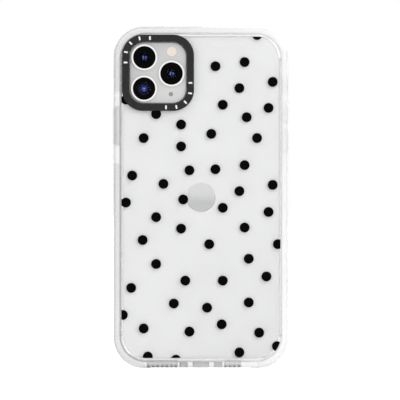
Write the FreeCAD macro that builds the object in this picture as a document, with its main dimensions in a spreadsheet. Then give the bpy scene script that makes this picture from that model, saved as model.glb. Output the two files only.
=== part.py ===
"""A three-camera phone in its clear bumper case with printed black dots, as an assembly of separate pieces.

The assembly stands on the case's bottom end. +Z runs along the phone towards the cameras, the phone's back
faces -Y and its display +Y. Every piece is drawn about the middle of the phone and then placed with one
shared Placement, which puts the case's bottom end on Z = 0 and centres the whole depth on Y = 0.

Places in depth are written as the distance behind the phone's middle plane, so they grow towards -Y.
All sizes are in millimetres.
"""
import FreeCAD, Part
import math
import os
import re

import Sketcher

Vector = FreeCAD.Vector

# ---------------------------------------------------------------------------------------------------------
# Driving dimensions
# ---------------------------------------------------------------------------------------------------------

SIZES = {
    # phone body
    "phone_width": 77.8,
    "phone_height": 158.0,
    "phone_depth": 8.1,
    "phone_corner": 12.5,
    "band_wall": 2.2,
    "band_edge_round": 1.3,
    "glass_inset": 1.5,
    "glass_depth": 0.8,
    "glass_edge_round": 0.35,
    "gasket_depth": 0.2,
    # case shell
    "case_wall": 3.1,
    "case_corner_growth": 2.0,
    "case_fit": 0.1,
    "lip_rise": 1.2,
    "lip_cover": 1.4,
    "lip_round": 0.5,
    "bumper_back_round": 2.2,
    "bumper_front_round": 1.6,
    "groove_offset": 0.7,
    "groove_width": 0.3,
    "groove_sink": 0.2,
    "foot_relief": 0.35,
    "foot_relief_width": 48.0,
    # clear back plate
    "plate_side_step": 0.65,
    "plate_end_step": 1.7,
    "plate_corner_step": 2.5,
    "plate_gap": 0.2,
    "plate_depth": 1.3,
    "plate_bevel": 0.15,
    "print_depth": 0.05,
    "dot_radius": 2.38,
    # camera ring of the case
    "ring_from_side": 18.3,
    "ring_from_top": 19.15,
    "ring_inner_width": 27.8,
    "ring_inner_height": 29.9,
    "ring_inner_corner": 7.0,
    "ring_wall": 3.35,
    "ring_corner_growth": 3.0,
    "ring_rise": 1.6,
    "ring_skirt": 0.8,
    "ring_outer_round": 0.8,
    "ring_inner_round": 0.5,
    "mark_width": 0.8,
    "mark_length": 1.9,
    "mark_run": 3.4,
    "mark_depth": 0.12,
    # rear cameras
    "plateau_gap": 0.25,
    "plateau_rise": 1.1,
    "plateau_round": 0.5,
    "trim_rise": 1.2,
    "trim_radius": 6.2,
    "lens_radius": 5.42,
    "lens_depth": 0.7,
    "lens_sink": 0.15,
    "barrel_radius": 4.5,
    "barrel_clearance": 0.15,
    "focus_travel": 0.25,
    "focus_room": 0.3,
    "element_radius": 2.3,
    "element_rise": 0.5,
    "module_size": 11.4,
    "module_wall_sink": 0.1,
    "wide_left": 6.55,
    "wide_up": 7.4,
    "ultra_left": 6.7,
    "ultra_down": 7.6,
    "tele_right": 6.5,
    "tele_down": 0.35,
    "flash_right": 6.6,
    "flash_up": 10.25,
    "flash_radius": 2.45,
    "flash_depth": 0.9,
    "rear_mic_right": 6.2,
    "rear_mic_down": 10.25,
    "rear_mic_radius": 1.06,
    "mesh_depth": 0.2,
    "emblem_radius": 7.1,
    "emblem_depth": 0.12,
    # display side
    "panel_depth": 1.15,
    "panel_border": 0.6,
    "mid_plate_depth": 0.6,
    "notch_width": 36.0,
    "notch_height": 6.5,
    "earpiece_width": 12.0,
    "earpiece_height": 1.6,
    "front_camera_x": 13.0,
    "front_camera_radius": 2.6,
    "top_module_gap": 0.8,
    "top_module_depth": 4.0,
    # inner pieces
    "cell_swell_room": 0.6,
    "cell_corner": 1.5,
    "cell_side_room": 3.7,
    "lower_cell_below_sim": 17.0,
    "lower_cell_rise": 5.6,
    "upper_cell_side_room": 4.45,
    "upper_cell_from_top": 18.8,
    "cell_gap": 1.0,
    "cell_split_x": -2.5,
    "board_depth": 0.9,
    "board_side_room": 3.45,
    "board_top_room": 2.55,
    "board_gap": 1.5,
    "shield_depth": 1.4,
    "shield_margin": 1.6,
    "coil_outer": 23.0,
    "coil_inner": 11.0,
    "coil_depth": 0.45,
    "coil_turn": 0.7,
    "ferrite_depth": 0.2,
    "bottom_gap": 3.2,
    "bottom_cover_room": 1.15,
    "speaker_width": 24.0,
    "speaker_height": 13.0,
    "speaker_x": -21.0,
    "haptic_width": 26.0,
    "haptic_height": 9.0,
    "haptic_x": 20.5,
    "haptic_wall": 0.4,
    "haptic_gap": 0.25,
    "haptic_travel": 1.0,
    # charging port and bottom openings
    "port_width": 8.0,
    "port_height": 2.4,
    "port_round": 1.1,
    "port_shell": 0.25,
    "port_length": 8.0,
    "tongue_width": 5.6,
    "tongue_height": 0.7,
    "case_port_width": 8.0,
    "case_port_height": 4.2,
    "case_slot_x": 8.25,
    "case_slot_width": 4.05,
    "case_slot_height": 3.0,
    "screw_x": 7.3,
    "screw_radius": 0.75,
    "hole_radius": 0.575,
    "hole_pitch": 2.2,
    "speaker_hole_x": -25.2,
    "mic_hole_x": 11.8,
    # side controls
    "power_from_top": 44.6,
    "power_length": 16.9,
    "volume_up_from_top": 38.5,
    "volume_up_length": 7.9,
    "volume_down_from_top": 52.0,
    "volume_down_length": 9.2,
    "cover_breadth": 3.4,
    "cover_rise": 0.45,
    "cover_gap": 0.25,
    "cover_flange": 0.7,
    "cover_flange_depth": 0.5,
    "button_breadth": 2.2,
    "button_rise": 0.4,
    "button_gap": 0.12,
    "button_short": 1.2,
    "button_travel": 0.3,
    "side_round": 0.9,
    "switch_depth": 1.6,
    "switch_gap": 0.15,
    "relief_sink": 0.35,
    "relief_length": 5.0,
    "relief_breadth": 5.0,
    "silent_from_top": 25.0,
    "silent_length": 5.6,
    "silent_breadth": 1.6,
    "silent_rise": 0.5,
    "silent_travel": 0.9,
    "silent_window_length": 10.0,
    "silent_window_breadth": 5.2,
    # sim tray and antenna lines
    "sim_from_top": 75.0,
    "sim_length": 15.0,
    "sim_breadth": 1.9,
    "sim_reach": 9.7,
    "sim_carrier_depth": 0.8,
    "sim_carrier_short": 2.0,
    "sim_gap": 0.08,
    "antenna_line": 1.0,
    "antenna_sink": 1.2,
    "antenna_from_end": 13.0,
    "antenna_end_x": 24.0,
    # small fixings
    "fixing_head_radius": 1.0,
    "fixing_head_depth": 0.35,
}

# Centres of the printed dots, to the right of and above the middle of the plate.
DOT_CENTRES = [
    (7, 63), (21, 65), (27, 78), (34.5, 55.5), (18.5, 52.5), (10.5, 44.5), (32.5, 43), (22, 38.5),
    (27, 28.5), (5, 30.5), (-9.5, 35), (-9.5, 24.5), (-27.5, 28.5), (-21.5, 40), (-36, 47), (-5.5, 13),
    (7, 13.5), (21, 15.5), (-33, 10.5), (-18, 6.5), (-8.5, -1), (-36, -2.5), (18.5, 3), (34.5, 6),
    (10.5, -5), (32.5, -7), (-21.5, -9.5), (-9.5, -15), (21, -14.5), (-28, -20.5), (4, -22.5), (37, -22.5),
    (23, -29.5), (-21.5, -32), (31.5, -38), (-7.5, -40), (10.5, -40), (-33.5, -43.5), (-13, -51), (3, -53),
    (23, -50.5), (-37.5, -56.5), (-27.5, -63), (-5.5, -64.5), (10, -61), (28, -65), (36.5, -71.5),
    (18.5, -74.5), (-25.5, -76.5), (-12, -78),
]

FOCUSING = ("wide", "telephoto")
SPEAKER_HOLES = 7
MIC_HOLES = 4
MARK_TURNS = (-34.0, 0.0, 34.0)  # degrees either side of a corner's middle
COIL_GROOVES = 7
SPARE = "1"  # how far a cutting tool runs past the face it cuts
TOUCH = 1e-4  # places closer than this count as the same

# ---------------------------------------------------------------------------------------------------------
# Derived places, as formulas of the sheet's words
# ---------------------------------------------------------------------------------------------------------

BACK_FACE = "(phone_depth / 2)"
GLASS_IN = f"({BACK_FACE} - glass_depth)"
PLATE_IN = f"({BACK_FACE} + plate_gap)"
PLATE_OUT = f"({PLATE_IN} + plate_depth)"
RING_OUT = f"({PLATE_OUT} + ring_rise)"
PLATEAU_OUT = f"({BACK_FACE} + plateau_rise)"
TRIM_OUT = f"({PLATEAU_OUT} + trim_rise)"
LIP_OUT = "(phone_depth / 2 + lip_rise)"
LEDGE_FRONT = "(phone_depth / 2 - glass_depth - gasket_depth)"
PANEL_OUT = f"({BACK_FACE} - glass_depth)"
MID_FRONT = f"({PANEL_OUT} - panel_depth)"
FLOOR = f"(mid_plate_depth - {MID_FRONT})"

HALF_WIDTH = "(phone_width / 2)"
HALF_HEIGHT = "(phone_height / 2)"
CASE_SIDE = f"({HALF_WIDTH} + case_wall)"
CASE_END = f"({HALF_HEIGHT} + case_wall)"
CASE_OUTLINE = (
    "phone_width + 2 * case_wall",
    "phone_height + 2 * case_wall",
    "phone_corner + case_corner_growth",
)
PHONE_OUTLINE = ("phone_width", "phone_height", "phone_corner")
CAVITY_OUTLINE = ("phone_width + 2 * case_fit", "phone_height + 2 * case_fit", "phone_corner + case_fit")
LIP_OUTLINE = ("phone_width - 2 * lip_cover", "phone_height - 2 * lip_cover", "phone_corner - lip_cover")
PLATE_OUTLINE = (
    "phone_width - 2 * plate_side_step",
    "phone_height - 2 * plate_end_step",
    "phone_corner - plate_corner_step",
)
GLASS_OUTLINE = (
    "phone_width - 2 * glass_inset",
    "phone_height - 2 * glass_inset",
    "phone_corner - glass_inset",
)
INNER_OUTLINE = ("phone_width - 2 * band_wall", "phone_height - 2 * band_wall", "phone_corner - band_wall")
INNER_SIDE = f"({HALF_WIDTH} - band_wall)"
INNER_END = f"({HALF_HEIGHT} - band_wall)"
RING_X = f"(ring_from_side - {HALF_WIDTH})"
RING_Z = f"({HALF_HEIGHT} - ring_from_top)"
RING_PLACE = (RING_X, RING_Z)
CAMERAS = {
    "wide": (f"({RING_X} - wide_left)", f"({RING_Z} + wide_up)"),
    "ultra_wide": (f"({RING_X} - ultra_left)", f"({RING_Z} - ultra_down)"),
    "telephoto": (f"({RING_X} + tele_right)", f"({RING_Z} - tele_down)"),
}
FLASH_PLACE = (f"({RING_X} + flash_right)", f"({RING_Z} + flash_up)")
REAR_MIC_PLACE = (f"({RING_X} + rear_mic_right)", f"({RING_Z} - rear_mic_down)")
RING_INNER = ("ring_inner_width", "ring_inner_height", "ring_inner_corner")
RING_OUTER = (
    "ring_inner_width + 2 * ring_wall",
    "ring_inner_height + 2 * ring_wall",
    "ring_inner_corner + ring_corner_growth",
)
RING_HOLE = (
    "ring_inner_width + 2 * ring_skirt",
    "ring_inner_height + 2 * ring_skirt",
    "ring_inner_corner + ring_skirt",
)
PLATEAU_OUTLINE = (
    "ring_inner_width - 2 * plateau_gap",
    "ring_inner_height - 2 * plateau_gap",
    "ring_inner_corner - plateau_gap",
)

BOTTOM_BASE = f"(bottom_gap - {INNER_END})"
BOTTOM_TOP = f"({GLASS_IN} - bottom_cover_room)"
LOWER_BASE = f"({BOTTOM_BASE} + speaker_height + lower_cell_rise)"
CELL_TOP = f"({GLASS_IN} - coil_depth - ferrite_depth - cell_swell_room)"
POWER_Z = f"({HALF_HEIGHT} - power_from_top)"
VOLUME_UP_Z = f"({HALF_HEIGHT} - volume_up_from_top)"
VOLUME_DOWN_Z = f"({HALF_HEIGHT} - volume_down_from_top)"
SILENT_Z = f"({HALF_HEIGHT} - silent_from_top)"
SIM_Z = f"({HALF_HEIGHT} - sim_from_top)"
LOWER_TOP = f"({SIM_Z} - lower_cell_below_sim)"
UPPER_BASE = f"({LOWER_TOP} + cell_gap)"
SHIFT_BACK = f"(({RING_OUT} - {LIP_OUT}) / 2)"

# ---------------------------------------------------------------------------------------------------------
# The document and small helpers
# ---------------------------------------------------------------------------------------------------------

doc = FreeCAD.newDocument("phone_in_dotted_case")
sheet = doc.addObject("Spreadsheet::Sheet", "Sizes")
for row, (word, size) in enumerate(SIZES.items(), start=1):
    sheet.set(f"A{row}", word)
    sheet.set(f"B{row}", str(size))
    sheet.setAlias(f"B{row}", word)
doc.recompute()

NODES = {}
PLANES = {"back": "XZ_Plane", "side": "YZ_Plane", "end": "XY_Plane"}
QUARTER = 90.0
ALONG_BACK = FreeCAD.Rotation(Vector(1, 0, 0), QUARTER)
WORD = re.compile(r"[a-z][a-z_]*")


def tied(formula):
    """The formula with each sheet word written as a reference to the sheet."""
    return WORD.sub(lambda found: "Sizes." + found.group(), str(formula))


def number(formula):
    """The value of a formula now, used as the starting size of a sketch."""
    return float(sheet.evalExpression(tied(formula)))


def bind(item, prop, formula):
    item.setExpression(prop, tied(formula))


def minus(formula):
    return f"(0 - ({formula}))"


def span(start, end):
    """The distance from one place to another."""
    return f"(({end}) - ({start}))"


def place(item, x="0", back="0", z="0"):
    """Binds the place of a primitive: to the right, behind the middle plane and above the middle."""
    bind(item, ".Placement.Base.x", x)
    bind(item, ".Placement.Base.y", minus(back))
    bind(item, ".Placement.Base.z", z)


def keep(label, item):
    """Names a finished piece. A primitive is wrapped first, so that its own place stays as drawn."""
    if item.TypeId in ("Part::Cylinder", "Part::Box", "Part::Cone", "Part::Torus"):
        item = group(label + "_solid", [item])
    item.Label = label
    bind(item, ".Placement.Base.y", SHIFT_BACK)
    bind(item, ".Placement.Base.z", CASE_END)
    NODES[label] = item
    return item


def new_sketch(body, plane, height, centre=("0", "0")):
    """A sketch on one of the body's origin planes, moved to a height and a centre."""
    sketch = body.newObject("Sketcher::SketchObject", body.Name + "_sketch")
    origin = next(item for item in body.Origin.OriginFeatures if item.Role == PLANES[plane])
    sketch.AttachmentSupport = [(origin, "")]
    sketch.MapMode = "FlatFace"
    bind(sketch, ".AttachmentOffset.Base.x", centre[0])
    bind(sketch, ".AttachmentOffset.Base.y", centre[1])
    bind(sketch, ".AttachmentOffset.Base.z", height)
    return sketch


def rounded_outline(sketch, outline, word="outer"):
    """Adds a centred rounded rectangle of (across, along, corner), with its three sizes bound."""
    half_x, half_y, corner = number(outline[0]) / 2, number(outline[1]) / 2, number(outline[2])
    in_x, in_y = half_x - corner, half_y - corner
    quarter = math.radians(QUARTER)
    start = sketch.GeometryCount
    sides = [
        ((-in_x, -half_y), (in_x, -half_y)),
        ((half_x, -in_y), (half_x, in_y)),
        ((in_x, half_y), (-in_x, half_y)),
        ((-half_x, in_y), (-half_x, -in_y)),
    ]
    corners = [(in_x, -in_y), (in_x, in_y), (-in_x, in_y), (-in_x, -in_y)]
    for turn, (side, centre) in enumerate(zip(sides, corners), start=-1):
        sketch.addGeometry(Part.LineSegment(Vector(*side[0], 0), Vector(*side[1], 0)), False)
        circle = Part.Circle(Vector(*centre, 0), Vector(0, 0, 1), corner)
        sketch.addGeometry(Part.ArcOfCircle(circle, turn * quarter, (turn + 1) * quarter), False)
    rules = [
        Sketcher.Constraint("Tangent", start + step, 2, start + (step + 1) % 8, 1) for step in range(8)
    ]
    rules += [Sketcher.Constraint("Equal", start + 1, start + step) for step in (3, 5, 7)]
    rules += [
        Sketcher.Constraint("Horizontal", start + 4),
        Sketcher.Constraint("Vertical", start + 6),
        Sketcher.Constraint("Symmetric", start, 1, start, 2, -2),
        Sketcher.Constraint("Symmetric", start + 2, 1, start + 2, 2, -1),
        Sketcher.Constraint("DistanceX", start + 6, 1, start + 2, 1, 2 * half_x),
        Sketcher.Constraint("DistanceY", start, 1, start + 4, 1, 2 * half_y),
        Sketcher.Constraint("Radius", start + 1, corner),
    ]
    sketch.addConstraint(rules)
    last = sketch.ConstraintCount
    for back_step, size, formula in zip((3, 2, 1), ("across", "along", "corner"), outline):
        name = f"{word}_{size}"
        sketch.renameConstraint(last - back_step, name)
        bind(sketch, f"Constraints.{name}", formula)


def pad(body, sketch, length):
    feature = body.newObject("PartDesign::Pad", body.Name + "_pad")
    feature.Profile = sketch
    bind(feature, "Length", length)
    return feature


def pocket(body, plane, outline, top, depth, centre=("0", "0")):
    """Cuts a rounded outline from the height top, against the plane's normal, by depth."""
    sketch = new_sketch(body, plane, top, centre)
    rounded_outline(sketch, outline)
    feature = body.newObject("PartDesign::Pocket", body.Name + "_pocket")
    feature.Profile = sketch
    bind(feature, "Length", depth)
    return feature


def slab(name, outline, start, end, centre=("0", "0"), plane="back", opening=None):
    """A body that pads a rounded outline from start to end, with an optional outline left open inside it."""
    body = doc.addObject("PartDesign::Body", name)
    sketch = new_sketch(body, plane, start, centre)
    rounded_outline(sketch, outline)
    if opening:
        rounded_outline(sketch, opening, "inner")
    pad(body, sketch, span(start, end))
    return body


def block(name, low, high):
    """A box between two corners of (x, back, z)."""
    box = doc.addObject("Part::Box", name)
    for prop, start, end in zip(("Length", "Width", "Height"), low, high):
        bind(box, prop, span(start, end))
    place(box, low[0], high[1], low[2])
    return box


def disc(name, radius, start, end, x="0", z="0"):
    """A round pin or disc whose axis runs front to back."""
    pin = doc.addObject("Part::Cylinder", name)
    pin.Placement = FreeCAD.Placement(Vector(), ALONG_BACK)
    bind(pin, "Radius", radius)
    bind(pin, "Height", span(start, end))
    place(pin, x, start, z)
    return pin


def post(name, radius, low, high, x):
    """A round pin whose axis runs along Z."""
    pin = doc.addObject("Part::Cylinder", name)
    bind(pin, "Radius", radius)
    bind(pin, "Height", span(low, high))
    place(pin, x, z=low)
    return pin


def group(name, items):
    """Several solids as one compound."""
    bundle = doc.addObject("Part::Compound", name)
    bundle.Links = items
    return bundle


def cut(name, base, tools):
    """The base with every tool taken out of it."""
    result = doc.addObject("Part::Cut", name)
    result.Base = base
    result.Tool = tools[0] if len(tools) == 1 else group(name + "_tools", tools)
    return result


def fuse(name, items):
    result = doc.addObject("Part::MultiFuse", name)
    result.Shapes = items
    result.Refine = True
    return result


def common(name, base, tool):
    result = doc.addObject("Part::Common", name)
    result.Base = base
    result.Tool = tool
    return result


def rim_edges(shape, depth, outline=None, centre=("0", "0")):
    """Names of the edges that lie flat at one depth, and on or inside an outline where one is given."""
    names = []
    for index, edge in enumerate(shape.Edges, start=1):
        first, last = edge.ParameterRange
        points = [edge.valueAt(first + (last - first) * step / 2) for step in range(3)]
        flat = all(abs(point.y + depth) < TOUCH for point in points)
        if flat and outline:
            half_x, half_z = number(outline[0]) / 2 + TOUCH, number(outline[1]) / 2 + TOUCH
            middle_x, middle_z = number(centre[0]), number(centre[1])
            flat = all(
                abs(point.x - middle_x) < half_x and abs(point.z - middle_z) < half_z for point in points
            )
        if flat:
            names.append(f"Edge{index}")
    return names


def dress_rim(body, kind, prop, size, depth, outline=None, centre=("0", "0")):
    """Adds a fillet or a chamfer to the flat rim of a body at one depth."""
    doc.recompute()
    base = body.Tip
    feature = body.newObject("PartDesign::" + kind, body.Name + "_" + kind.lower())
    feature.Base = (base, rim_edges(base.Shape, number(depth), outline, centre))
    bind(feature, prop, size)
    return feature


def round_rim(body, radius, depth, outline=None, centre=("0", "0")):
    return dress_rim(body, "Fillet", "Radius", radius, depth, outline, centre)


def bevel_rim(body, size, depth):
    return dress_rim(body, "Chamfer", "Size", size, depth)


def grown(outline, by):
    """A rounded outline moved outwards by a distance on every side."""
    return (f"{outline[0]} + 2 * {by}", f"{outline[1]} + 2 * {by}", f"{outline[2]} + {by}")


# ---------------------------------------------------------------------------------------------------------
# Side controls: the clear covers of the case and the phone's own buttons under them
# ---------------------------------------------------------------------------------------------------------

# side is -1 for the camera side and +1 for the other side
BUTTONS = {
    "power_button": (-1, POWER_Z, "power_length"),
    "volume_up_button": (1, VOLUME_UP_Z, "volume_up_length"),
    "volume_down_button": (1, VOLUME_DOWN_Z, "volume_down_length"),
}


def side_slab(name, side, breadth, length, corner, near, far, z):
    """A rounded slab that stands out sideways, from near to far, both measured from the middle."""
    start, end = (near, far) if side > 0 else (minus(far), minus(near))
    return slab(name, (breadth, length, corner), start, end, ("0", z), plane="side")


def button_window(name, side, z, length):
    """The opening in the case's side wall for one cover, with a wider step inside for its flange."""
    window = side_slab(
        name + "_window", side, "cover_breadth + 2 * cover_gap", f"{length} + 2 * cover_gap",
        "side_round + cover_gap", f"{HALF_WIDTH}", f"{CASE_SIDE} + {SPARE}", z,
    )
    step = side_slab(
        name + "_step", side, "cover_breadth + 2 * cover_flange + 2 * cover_gap",
        f"{length} + 2 * cover_flange + 2 * cover_gap", "side_round + cover_gap",
        f"{HALF_WIDTH}", f"{HALF_WIDTH} + button_rise + cover_flange_depth + cover_gap", z,
    )
    return [window, step]


def button_reliefs(name, side, z, length):
    """Two shallow steps in the wall, above and below one cover."""
    low, high = (f"{CASE_SIDE} - relief_sink", f"{CASE_SIDE} + {SPARE}")
    reach = f"({length} / 2 + relief_length / 2 + 2 * cover_gap + side_round)"
    return [
        side_slab(f"{name}_relief_{word}", side, "relief_breadth", "relief_length", "side_round", low, high,
                  f"{z} {sign} {reach}")
        for word, sign in (("above", "+"), ("below", "-"))
    ]


def make_button(name, side, z, length):
    """One cover with its inner flange, and the phone's button that it presses."""
    outer_end = f"({HALF_WIDTH} + button_rise)"
    stem = side_slab(name + "_stem", side, "cover_breadth", length, "side_round",
                     outer_end, f"{CASE_SIDE} + cover_rise", z)
    flange = side_slab(name + "_flange", side, "cover_breadth + 2 * cover_flange",
                       f"{length} + 2 * cover_flange", "side_round",
                       outer_end, f"{outer_end} + cover_flange_depth", z)
    keep(name + "_cover", fuse(name + "_cover", [stem, flange]))
    inner_end = f"({INNER_SIDE} + button_travel + switch_gap)"
    keep(name, side_slab(name + "_metal", side, "button_breadth", f"{length} - button_short",
                         "side_round", inner_end, outer_end, z))


def button_slot(name, side, z, length):
    """The slot through the phone's steel band for one button."""
    return side_slab(
        name + "_slot", side, "button_breadth + 2 * button_gap", f"{length} - button_short + 2 * button_gap",
        "side_round + button_gap", f"{INNER_SIDE} - {SPARE}", f"{HALF_WIDTH} + {SPARE}", z,
    )


def button_contact(name, side, z, length):
    """The small switch inside the band that the button clicks."""
    return side_slab(
        name + "_contact", side, f"0 - 2 * {FLOOR}", f"{length} / 2", "side_round",
        f"{INNER_SIDE} - switch_depth", f"{INNER_SIDE}", z,
    )


# ---------------------------------------------------------------------------------------------------------
# The case
# ---------------------------------------------------------------------------------------------------------


def end_holes(name, radius, low, high):
    """The rows of round holes in the bottom end: the loudspeaker's and the microphones'."""
    rows = (("speaker", "speaker_hole_x", SPEAKER_HOLES), ("mic", "mic_hole_x", MIC_HOLES))
    return [
        post(f"{name}_{word}_{index}", radius, low, high, f"{start} + {index} * hole_pitch")
        for word, start, count in rows
        for index in range(count)
    ]


def make_bumper():
    """The soft clear band round the phone, with a lip over the display and a seat for the back plate."""
    body = slab("case_bumper_body", CASE_OUTLINE, minus(LIP_OUT), PLATE_OUT)
    round_rim(body, "bumper_back_round", PLATE_OUT)
    round_rim(body, "bumper_front_round", minus(LIP_OUT))
    cavity_top = f"({BACK_FACE} + case_fit)"
    pocket(body, "back", CAVITY_OUTLINE, cavity_top, f"2 * {cavity_top}")
    pocket(body, "back", PLATE_OUTLINE, PLATE_OUT, f"{PLATE_OUT} - {BACK_FACE}")
    pocket(body, "back", LIP_OUTLINE, minus(BACK_FACE), f"lip_rise + {SPARE}")
    round_rim(body, "lip_round", minus(LIP_OUT), LIP_OUTLINE)

    groove = slab(
        "case_groove", grown(PLATE_OUTLINE, "(groove_offset + groove_width)"),
        f"{PLATE_OUT} - groove_sink", f"{PLATE_OUT} + {SPARE}",
        opening=grown(PLATE_OUTLINE, "groove_offset"),
    )
    tools = [groove]
    for name, (side, z, length) in BUTTONS.items():
        tools += button_window(name, side, z, length)
    tools += button_reliefs("power", -1, POWER_Z, "power_length")
    tools.append(side_slab("volume_end_relief", 1, "relief_breadth", "relief_length / 2", "side_round",
                           f"{CASE_SIDE} - relief_sink", f"{CASE_SIDE} + {SPARE}",
                           f"{VOLUME_DOWN_Z} - volume_down_length / 2 - relief_length / 2"))
    tools.append(side_slab("silent_window", 1, "silent_window_breadth", "silent_window_length", "side_round",
                           HALF_WIDTH, f"{CASE_SIDE} + {SPARE}", SILENT_Z))
    tools.append(block("foot_relief_tool",
                       ("0 - foot_relief_width / 2", f"0 - {LIP_OUT} - {SPARE}", f"0 - {CASE_END} - {SPARE}"),
                       ("foot_relief_width / 2", f"{PLATE_OUT} + {SPARE}", f"foot_relief - {CASE_END}")))
    low, high = f"(0 - {CASE_END} - {SPARE})", f"({SPARE} / 2 - {HALF_HEIGHT})"
    tools += end_holes("case_hole", "hole_radius", low, high)
    openings = (("port", "0", "case_port_width", "case_port_height"),
                ("slot_left", "0 - case_slot_x", "case_slot_width", "case_slot_height"),
                ("slot_right", "case_slot_x", "case_slot_width", "case_slot_height"))
    for word, x, width, height in openings:
        tools.append(slab(f"case_{word}", (width, height, "port_round"), low, high, (x, "0"), plane="end"))
    keep("case_bumper", cut("case_bumper", body, tools))


def make_back_plate():
    """The hard clear plate, with the opening that the camera ring is set into."""
    body = slab("case_back_plate_body", PLATE_OUTLINE, PLATE_IN, PLATE_OUT)
    bevel_rim(body, "plate_bevel", PLATE_OUT)
    pocket(body, "back", RING_HOLE, f"{PLATE_OUT} + {SPARE}", f"plate_depth + 2 * {SPARE}", RING_PLACE)
    keep("case_back_plate", body)


def ring_mark_places():
    """Places and turns of the printed ticks round the ring's upper outer and lower inner corners."""
    middle_line = "ring_wall / 2"
    reach = f"(ring_inner_corner + ring_corner_growth - {middle_line})"
    side = "(ring_inner_width / 2 + ring_wall - ring_inner_corner - ring_corner_growth)"
    end = "(ring_inner_height / 2 + ring_wall - ring_inner_corner - ring_corner_growth)"
    for corner, middle, sign, other in (("upper", 135.0, "-", "+"), ("lower", -45.0, "+", "-")):
        for index, step in enumerate(MARK_TURNS):
            turn = middle + step
            x = f"{RING_X} {sign} {side} + {math.cos(math.radians(turn)):.4f} * {reach}"
            z = f"{RING_Z} {other} {end} + {math.sin(math.radians(turn)):.4f} * {reach}"
            yield f"{corner}_{index}", x, z, turn
        yield (f"{corner}_side", f"{RING_X} {sign} (ring_inner_width / 2 + {middle_line})",
               f"{RING_Z} {other} ({end} - mark_run)", 0.0)
        yield (f"{corner}_end", f"{RING_X} {sign} ({side} - mark_run)",
               f"{RING_Z} {other} (ring_inner_height / 2 + {middle_line})", QUARTER)


def make_camera_ring():
    """The raised black frame round the cameras, with a skirt through the plate, and its ten plain ticks."""
    body = slab("camera_ring_body", RING_OUTER, PLATE_OUT, RING_OUT, RING_PLACE)
    round_rim(body, "ring_outer_round", RING_OUT)
    pocket(body, "back", RING_INNER, f"{RING_OUT} + {SPARE}", f"ring_rise + 2 * {SPARE}", RING_PLACE)
    round_rim(body, "ring_inner_round", RING_OUT, RING_INNER, RING_PLACE)
    skirt = slab("camera_ring_skirt", RING_HOLE, PLATE_IN, f"{PLATE_OUT} + ring_rise / 4", RING_PLACE,
                 opening=RING_INNER)
    marks = []
    for word, x, z, turn in ring_mark_places():
        tick = slab(f"mark_{word}", ("mark_width", "mark_length", "mark_width * 0.45"),
                    f"({RING_OUT} - mark_depth)", RING_OUT)
        tick.Placement = FreeCAD.Placement(Vector(), FreeCAD.Rotation(Vector(0, 1, 0), QUARTER - turn))
        bind(tick, ".Placement.Base.x", x)
        bind(tick, ".Placement.Base.z", z)
        marks.append(tick)
    keep("camera_ring", cut("camera_ring", fuse("camera_ring_blank", [body, skirt]), marks))
    keep("camera_ring_marks", group("camera_ring_marks", marks))


def make_printed_dots():
    """The black dots printed on the plate's outer face, trimmed by the plate's bevel and by the ring."""
    end = f"({PLATE_OUT} + print_depth)"
    dots = [
        disc(f"dot_{index}", "dot_radius", PLATE_OUT, end, str(x), str(z))
        for index, (x, z) in enumerate(DOT_CENTRES)
    ]
    field = slab("print_field", grown(PLATE_OUTLINE, "(0 - plate_bevel)"), PLATE_OUT, end)
    clear = slab("print_clear", RING_OUTER, f"{PLATE_OUT} - {SPARE}", f"{end} + {SPARE}", RING_PLACE)
    trimmed = common("dots_on_plate", group("all_dots", dots), field)
    keep("printed_dots", cut("printed_dots", trimmed, [clear]))


# ---------------------------------------------------------------------------------------------------------
# The phone's shell
# ---------------------------------------------------------------------------------------------------------


def antenna_blocks():
    """The six short stretches of the band where plastic breaks the steel."""
    half = "antenna_line / 2"
    blocks = []
    for side in (-1, 1):
        near, far = f"({HALF_WIDTH} - antenna_sink)", f"({HALF_WIDTH} + {SPARE})"
        low_x, high_x = (near, far) if side > 0 else (minus(far), minus(near))
        for end, z in (("top", f"({HALF_HEIGHT} - antenna_from_end)"),
                       ("bottom", f"(antenna_from_end - {HALF_HEIGHT})")):
            blocks.append(block(f"antenna_{side + 1}_{end}", (low_x, f"0 - {BACK_FACE}", f"{z} - {half}"),
                                (high_x, BACK_FACE, f"{z} + {half}")))
    near, far = f"({HALF_HEIGHT} - antenna_sink)", f"({HALF_HEIGHT} + {SPARE})"
    for word, x, low_z, high_z in (("top", "antenna_end_x", near, far),
                                   ("bottom", "0 - antenna_end_x - hole_pitch * 2", minus(far), minus(near))):
        blocks.append(block(f"antenna_{word}", (f"{x} - {half}", f"0 - {BACK_FACE}", low_z),
                            (f"{x} + {half}", BACK_FACE, high_z)))
    return blocks


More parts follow.
